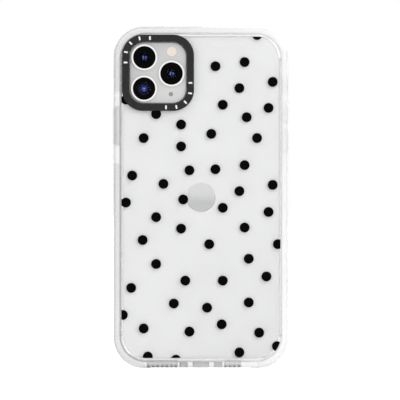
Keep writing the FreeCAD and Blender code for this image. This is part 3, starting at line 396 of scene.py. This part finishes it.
def black_print():
    """Dense black ink, with a slightly uneven lay."""
    look = Look("black_print", Specular_IOR_Level=0.03)
    look.tint(look.noise(0.7), grey(0.0006), grey(0.0012))
    look.rough(look.noise(0.4), 0.5, 0.65)
    return look


# ---------------------------------------------------------------------------------------------------------
# The phone's outside
# ---------------------------------------------------------------------------------------------------------


def polished_steel(name, level, rough=(0.08, 0.18)):
    """Polished steel with a faint brushed grain along the phone's length."""
    look = Look(name, Metallic=1.0)
    grain = look.noise(0.25, detail=3.0, stretch=(1.0, 1.0, 0.05))
    look.tint(grain, (level * 0.97, level * 0.965, level * 0.955), (level, level, level * 0.99))
    look.rough(grain, *rough)
    look.bump(grain, 0.004, 0.3)
    return look


PLATEAU_STEP = 0.15 * MM  # what stands out from the back's face by more than this is the plateau


def silver_back():
    """One sheet of glass: frosted silver, with the camera plateau left glossy over a metallic grain and
    lighter towards the lower right with a painted sheen.
    """
    look = Look("silver_back", IOR=1.5)
    face_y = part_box("emblem_disc")[0].y
    on_plateau = look.math("LESS_THAN", look.axis("Y"), face_y - PLATEAU_STEP)
    grain = look.noise(0.35, detail=5.0)
    frosted = look.ramp(look.noise(30.0), [(0.3, (0.855, 0.855, 0.85)), (0.7, (0.885, 0.885, 0.88))])
    low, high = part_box("camera_ring")
    # Painted sheen: the plateau is lighter towards the lower right.
    lower_right = look.math("SUBTRACT", look.axis("X"), look.axis("Z"))
    painted_sheen = look.product(look.share(lower_right, low.x - high.z, high.x - low.z), 0.75)
    shine = look.math("ADD", painted_sheen, look.spread(grain, 0.0, 0.25))
    glossy = look.ramp(shine, [(0.2, (0.47, 0.47, 0.467)), (0.9, (0.66, 0.66, 0.655))])
    look.link(look.mix(on_plateau, frosted, glossy), look.shader.inputs["Base Color"])
    fine = look.spread(grain, 0.0, 0.06)
    base = look.spread(on_plateau, 0.4, 0.24)
    look.link(look.math("ADD", fine, base), look.shader.inputs["Roughness"])
    look.bump(grain, 0.003, 0.3)
    return look


def emblem_polish():
    """The plain round inlay, polished, with a painted shade: lighter at the top, darker at the bottom."""
    look = Look("emblem_polish", Metallic=0.85)
    low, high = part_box("emblem_disc")
    # Painted shade: lighter at the top, darker at the bottom.
    look.tint(look.share(look.axis("Z"), low.z, high.z), grey(0.52), grey(0.66))
    look.rough(look.noise(0.6), 0.16, 0.26)
    return look


# Millimetres from the lens's centre.
CLEAR_RADIUS = {"wide": 2.5, "ultra_wide": 3.3, "telephoto": 2.5}
ELEMENT_RADIUS = 2.4


def lens_cover(camera):
    """Black printed border round a clear middle, over the lens."""
    name = f"{camera}_lens_cover"
    look = Look(name, IOR=1.1)
    clear = look.math("LESS_THAN", look.radius_from(middle(name)), CLEAR_RADIUS[camera])
    look.link(look.ramp(clear, [(0.0, grey(0.0012)), (1.0, grey(0.95))]), look.shader.inputs["Base Color"])
    look.link(clear, look.shader.inputs["Transmission Weight"])
    look.rough(look.noise(1.0), 0.02, 0.05)
    look.let_light_through(grey(0.9))
    return look


# The element's own dark colour along its radius, lifted for the ultra-wide into a blue ring that is a
# painted reflection of the coating, and the painted glints, which stand for reflections in the coating.
# Each glint says how far to the right of the centre and above it lies, its half width, all in millimetres,
# its height as a multiple of its width, and its colour.
ULTRA_WIDE_TONES = (
    (0.0, (0.01, 0.012, 0.04)),
    (0.3, (0.03, 0.055, 0.26)),
    (0.6, (0.012, 0.02, 0.09)),
    (0.95, (0.005, 0.006, 0.022)),
)
ULTRA_WIDE_PAINTED_GLINTS = (
    (0.0, 0.1, 0.75, 0.35, (0.6, 0.5, 0.95)),
    (0.0, -0.75, 0.9, 0.6, (0.05, 0.12, 0.5)),
)
LENS_TONES = (
    (0.0, (0.002, 0.002, 0.008)),
    (0.4, (0.003, 0.004, 0.018)),
    (0.95, (0.001, 0.001, 0.004)),
)
LENS_PAINTED_GLINTS = (
    (-0.6, -0.2, 0.6, 1.5, (0.02, 0.26, 0.36)),
    (-0.4, 0.6, 0.4, 1.2, (0.40, 0.16, 0.66)),
    (0.75, 0.0, 0.5, 1.9, (0.13, 0.18, 0.8)),
    (0.0, -0.8, 1.6, 0.9, (0.006, 0.01, 0.05)),
)


def lens_element(camera):
    """The coated front element: a dark pupil, painted glints round it that stand for reflections in its
    coating, and a dark rim.
    """
    name = f"{camera}_front_element"
    look = Look(name, IOR=1.35, Specular_IOR_Level=0.1)
    centre = middle(name)
    is_ultra_wide = camera == "ultra_wide"
    tones = ULTRA_WIDE_TONES if is_ultra_wide else LENS_TONES
    painted_glints = ULTRA_WIDE_PAINTED_GLINTS if is_ultra_wide else LENS_PAINTED_GLINTS
    base = look.ramp(look.math("DIVIDE", look.radius_from(centre), ELEMENT_RADIUS), tones)
    # Each painted glint, a painted reflection of the coating, is added onto the element's colour.
    for right, up, half_width, tall, tone in painted_glints:
        place = Vector((centre.x + right * MM, centre.y, centre.z + up * MM))
        near = look.math("DIVIDE", look.radius_from(place, tall), half_width)
        base = look.mix(1.0, base, look.ramp(near, [(0.0, tone), (1.0, grey(0.0))]), how="ADD")
    look.link(base, look.shader.inputs["Base Color"])
    look.rough(look.noise(1.0), 0.05, 0.12)
    return look


def lens_barrel(camera):
    """Black barrel with fine concentric steps that kill reflections."""
    name = f"{camera}_lens_barrel"
    look = Look(name, Specular_IOR_Level=0.02)
    if camera == "ultra_wide":
        look.tint(look.noise(0.5), (0.003, 0.004, 0.014), (0.005, 0.006, 0.02))
    else:
        look.tint(look.noise(0.5), grey(0.001), grey(0.002))
    look.rough(look.noise(0.6), 0.4, 0.55)
    look.bump(look.rings_round(middle(name), 16.0), 0.03, 0.6)
    return look


def flash_window():
    """Warm diffuser with a fresnel's fine rings."""
    look = Look("flash_window", IOR=1.3)
    centre = middle("flash_window")
    low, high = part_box("flash_window")
    tones = [
        (0.0, (0.82, 0.66, 0.5)),
        (0.55, (0.8, 0.67, 0.56)),
        (0.8, (0.72, 0.70, 0.64)),
        (0.93, (0.66, 0.66, 0.62)),
        (1.0, (0.36, 0.36, 0.34)),
    ]
    share = look.math("DIVIDE", look.radius_from(centre), (high.x - low.x) / 2 / MM)
    look.link(look.ramp(share, tones), look.shader.inputs["Base Color"])
    look.rough(look.noise(0.4), 0.22, 0.35)
    look.bump(look.rings_round(centre, 22.0), 0.02, 0.5)
    return look


MESH_PITCH = 0.14 * MM


def fine_mesh():
    """Woven metal mesh, seen as rows of tiny holes."""
    look = Look("fine_mesh", Metallic=0.6)
    cells = look.add("ShaderNodeTexVoronoi")
    cells.inputs["Scale"].default_value = 1.0 / MESH_PITCH
    cells.inputs["Randomness"].default_value = 0.0
    look.link(look.place, cells.inputs["Vector"])
    look.tint(cells.outputs["Distance"], (0.10, 0.10, 0.095), (0.36, 0.36, 0.33))
    look.rough(look.noise(0.3), 0.4, 0.55)
    look.bump(cells.outputs["Distance"], 0.04, 0.7)
    return look


DISPLAY_BORDER = 3.2 * MM  # from the panel's own edge


def display_black():
    """Polished black glass, with the dark panel just told apart from its border."""
    look = Look("display_black", IOR=1.52, Specular_IOR_Level=0.3)
    low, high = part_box("display_panel")
    panel = look.product(
        look.between(look.axis("X"), low.x + DISPLAY_BORDER, high.x - DISPLAY_BORDER),
        look.between(look.axis("Z"), low.z + DISPLAY_BORDER, high.z - DISPLAY_BORDER),
    )
    look.link(look.ramp(panel, [(0.0, grey(0.0015)), (1.0, (0.0035, 0.0038, 0.0045))]),
              look.shader.inputs["Base Color"])
    look.rough(look.noise(14.0, detail=3.0), 0.03, 0.07)
    return look


PLAIN_GRAIN = 0.3  # millimetres


def plain(name, dark, light, rough, metallic):
    """A simple made surface: a slight change of shade, of gloss and of height."""
    look = Look(name, Metallic=metallic)
    look.tint(look.noise(PLAIN_GRAIN * 4), dark, light)
    look.rough(look.noise(PLAIN_GRAIN * 2), *rough)
    look.bump(look.noise(PLAIN_GRAIN), 0.01, 0.4)
    return look


def coil_copper():
    """Lacquered copper, wound in fine circles."""
    look = Look("coil_copper", Metallic=1.0, Coat_Weight=0.5)
    look.tint(look.noise(2.0), (0.62, 0.30, 0.15), (0.78, 0.42, 0.24))
    look.rough(look.noise(1.0), 0.22, 0.34)
    look.bump(look.rings_round(middle("charging_coil"), 28.0), 0.03, 0.7)
    return look


def dress_case():
    dress(clear_band(), "case_bumper")
    dress(clear_cover(), *(f"{button}_cover" for button in BUTTONS))
    dress(clear_plate(), "case_back_plate")
    dress(satin_black(), "camera_ring")
    dress(white_print(), "camera_ring_marks")
    dress(black_print(), "printed_dots")


def dress_phone():
    dress(polished_steel("band_steel", 0.96), "steel_band", "sim_tray", *BUTTONS)
    dress(silver_back(), "back_glass")
    dress(emblem_polish(), "emblem_disc")
    dress(polished_steel("trim_steel", 0.95, (0.04, 0.1)), *(f"{camera}_lens_trim" for camera in CAMERAS))
    for camera in CAMERAS:
        dress(lens_cover(camera), f"{camera}_lens_cover")
        dress(lens_element(camera), f"{camera}_front_element")
        dress(lens_barrel(camera), f"{camera}_lens_barrel")
    dress(flash_window(), "flash_window")
    dress(fine_mesh(), "rear_microphone_mesh", "earpiece_mesh", "hole_meshes")
    dress(display_black(), "display_glass")
    dress(polished_steel("switch_silver", 0.7, (0.25, 0.35)), "silent_switch")


METAL = 1.0
NO_METAL = 0.0
# Each simple surface: its name, its darkest and lightest colour, its least and greatest roughness, whether
# it is metal, and the nodes that have it.
PLAIN_SURFACES = (
    ("antenna_plastic", grey(0.66), grey(0.72), (0.35, 0.5), NO_METAL, ["antenna_lines"]),
    ("module_metal", grey(0.22), grey(0.3), (0.3, 0.45), METAL,
     [*(f"{camera}_camera_module" for camera in CAMERAS), "haptic_mass"]),
    ("led_yellow", (0.75, 0.55, 0.12), (0.9, 0.72, 0.2), (0.35, 0.5), NO_METAL, ["flash_led"]),
    ("board_green", (0.010, 0.045, 0.028), (0.018, 0.07, 0.045), (0.25, 0.4), NO_METAL,
     ["flash_board", "logic_board"]),
    ("panel_black", grey(0.006), grey(0.01), (0.2, 0.3), NO_METAL, ["display_panel"]),
    ("gasket_rubber", grey(0.015), grey(0.025), (0.7, 0.85), NO_METAL, ["display_gasket"]),
    ("speaker_black", grey(0.02), grey(0.03), (0.45, 0.6), NO_METAL,
     ["earpiece_speaker", "loudspeaker", "front_camera", "silent_switch_base"]),
    ("inner_aluminium", grey(0.5), grey(0.6), (0.35, 0.5), METAL, ["mid_plate"]),
    ("cell_wrap", grey(0.03), grey(0.045), (0.4, 0.5), NO_METAL,
     ["battery_lower_cell", "battery_upper_cell"]),
    ("can_steel", grey(0.55), grey(0.65), (0.25, 0.4), METAL, ["board_shields", "haptic_housing"]),
    ("port_metal", grey(0.38), grey(0.5), (0.25, 0.4), METAL, ["charging_port_shell"]),
    ("screw_steel", grey(0.55), grey(0.68), (0.2, 0.35), METAL, ["board_screws", "end_screws"]),
    ("contact_gold", (0.75, 0.52, 0.2), (0.9, 0.66, 0.3), (0.2, 0.32), METAL,
     ["charging_port_contacts", "button_contacts"]),
    ("ferrite_dark", grey(0.03), grey(0.045), (0.55, 0.7), NO_METAL, ["coil_ferrite"]),
)


def dress_the_rest():
    dress(coil_copper(), "charging_coil")
    for name, dark, light, rough, metallic, nodes in PLAIN_SURFACES:
        dress(plain(name, dark, light, rough, metallic), *nodes)


# ---------------------------------------------------------------------------------------------------------
# Floor, world, lights and camera
# ---------------------------------------------------------------------------------------------------------

FLOOR_SIZE = 30.0
FLOOR_TONE = 0.5  # what the floor makes of the lamps' light
FLOOR_GLOW = 0.85  # what it adds for the camera, so that it runs into the white world
FLOOR_LIGHT = 0.62  # what it adds for all other rays


def make_floor():
    """A plain white floor, bright enough to run into the white world with only a soft contact shadow."""
    bpy.ops.mesh.primitive_plane_add(size=FLOOR_SIZE, location=(0.0, 0.0, CAD_BOX[0][2]))
    floor = bpy.context.object
    floor.name = "floor"
    look = Look("floor", Base_Color=colour(grey(FLOOR_TONE)), Specular_IOR_Level=0.0)
    look.rough(look.noise(40.0), 0.85, 0.95)
    look.shader.inputs["Emission Color"].default_value = colour(grey(1.0))
    path = look.add("ShaderNodeLightPath")
    look.link(look.spread(path.outputs["Is Camera Ray"], FLOOR_LIGHT, FLOOR_GLOW),
              look.shader.inputs["Emission Strength"])
    floor.data.materials.append(look.material)


# The world's strength where the grey flag at the left is full, and elsewhere. Across, the flag is full from
# FLAG_REACH to the left and gone at the middle. Towards the front and the back, it is full up to FLAG_FULL
# and gone from FLAG_GONE.
LEFT_LEVEL = 0.3
RIGHT_LEVEL = 1.0
FLAG_REACH = 0.6
FLAG_FULL = 0.1
FLAG_GONE = 0.75


def make_world():
    """White all round to look at. What glass and metal pick up is white too, but for a grey flag to the
    left, as beside a studio table, which draws the edges of clear plastic."""
    world = bpy.data.worlds.new("white")
    world.use_nodes = True
    tree = world.node_tree
    background = tree.nodes["Background"]
    background.inputs["Color"].default_value = colour(grey(1.0))
    place = tree.nodes.new("ShaderNodeTexCoord")
    split = tree.nodes.new("ShaderNodeSeparateXYZ")
    tree.links.new(place.outputs["Generated"], split.inputs["Vector"])
    depth = tree.nodes.new("ShaderNodeMath")
    depth.operation = "ABSOLUTE"
    tree.links.new(split.outputs["Y"], depth.inputs[0])
    flag = tree.nodes.new("ShaderNodeMapRange")
    flag.inputs["From Min"].default_value = -FLAG_REACH
    flag.inputs["From Max"].default_value = 0.0
    flag.inputs["To Min"].default_value = LEFT_LEVEL
    flag.inputs["To Max"].default_value = RIGHT_LEVEL
    tree.links.new(split.outputs["X"], flag.inputs["Value"])
    shade = tree.nodes.new("ShaderNodeMapRange")
    shade.interpolation_type = "SMOOTHSTEP"
    shade.inputs["From Min"].default_value = FLAG_FULL
    shade.inputs["From Max"].default_value = FLAG_GONE
    shade.inputs["To Max"].default_value = 1.0
    tree.links.new(flag.outputs["Result"], shade.inputs["To Min"])
    tree.links.new(depth.outputs["Value"], shade.inputs["Value"])
    path = tree.nodes.new("ShaderNodeLightPath")
    seen = tree.nodes.new("ShaderNodeMath")
    seen.operation = "MAXIMUM"
    tree.links.new(shade.outputs["Result"], seen.inputs[0])
    tree.links.new(path.outputs["Is Camera Ray"], seen.inputs[1])
    tree.links.new(seen.outputs["Value"], background.inputs["Strength"])
    bpy.context.scene.world = world


def softbox(name, place, aim, width, height, power):
    """A flat lamp at a place, turned towards what it is aimed at."""
    data = bpy.data.lights.new(name, "AREA")
    data.shape = "RECTANGLE"
    data.size = width
    data.size_y = height
    data.energy = power
    lamp = bpy.data.objects.new(name, data)
    bpy.context.scene.collection.objects.link(lamp)
    lamp.location = place
    lamp.rotation_euler = (Vector(aim) - Vector(place)).to_track_quat("-Z", "Y").to_euler()


# Each softbox's name, place in metres, width, height and power in watts.
SOFTBOXES = (
    ("key", (0.5, -0.85, 0.6), 0.6, 0.6, 2.0),
    ("fill", (-0.8, -0.6, 0.25), 0.5, 0.8, 0.5),
    ("back", (0.3, 0.8, 0.6), 0.6, 0.5, 1.0),
)


def make_lights(centre):
    for name, place, width, height, power in SOFTBOXES:
        softbox(name, place, centre, width, height, power)


# The view frames this much of the plane of the case's back, in millimetres, with the case's middle this far
# to the right of and above the middle of the frame.
VIEW_WIDTH = 192.2
OFF_RIGHT = 0.43
OFF_UP = 1.27
CAMERA_DISTANCE = 1.6  # metres, from the plane of the case's back
SENSOR_WIDTH = 36.0  # millimetres


def make_camera(centre):
    data = bpy.data.cameras.new("camera")
    back_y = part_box("case_back_plate")[0].y
    camera = bpy.data.objects.new("camera", data)
    bpy.context.scene.collection.objects.link(camera)
    camera.location = (centre.x - OFF_RIGHT * MM, back_y - CAMERA_DISTANCE, centre.z - OFF_UP * MM)
    camera.rotation_euler = (math.radians(90.0), 0.0, 0.0)
    data.sensor_width = SENSOR_WIDTH
    data.lens = data.sensor_width * CAMERA_DISTANCE / (VIEW_WIDTH * MM)
    data.clip_start = 0.01
    bpy.context.scene.camera = camera


dress_case()
dress_phone()
dress_the_rest()
make_floor()
make_world()
CENTRE = middle("case_bumper")
make_lights(CENTRE)
make_camera(CENTRE)
bpy.context.scene.view_settings.view_transform = "Standard"
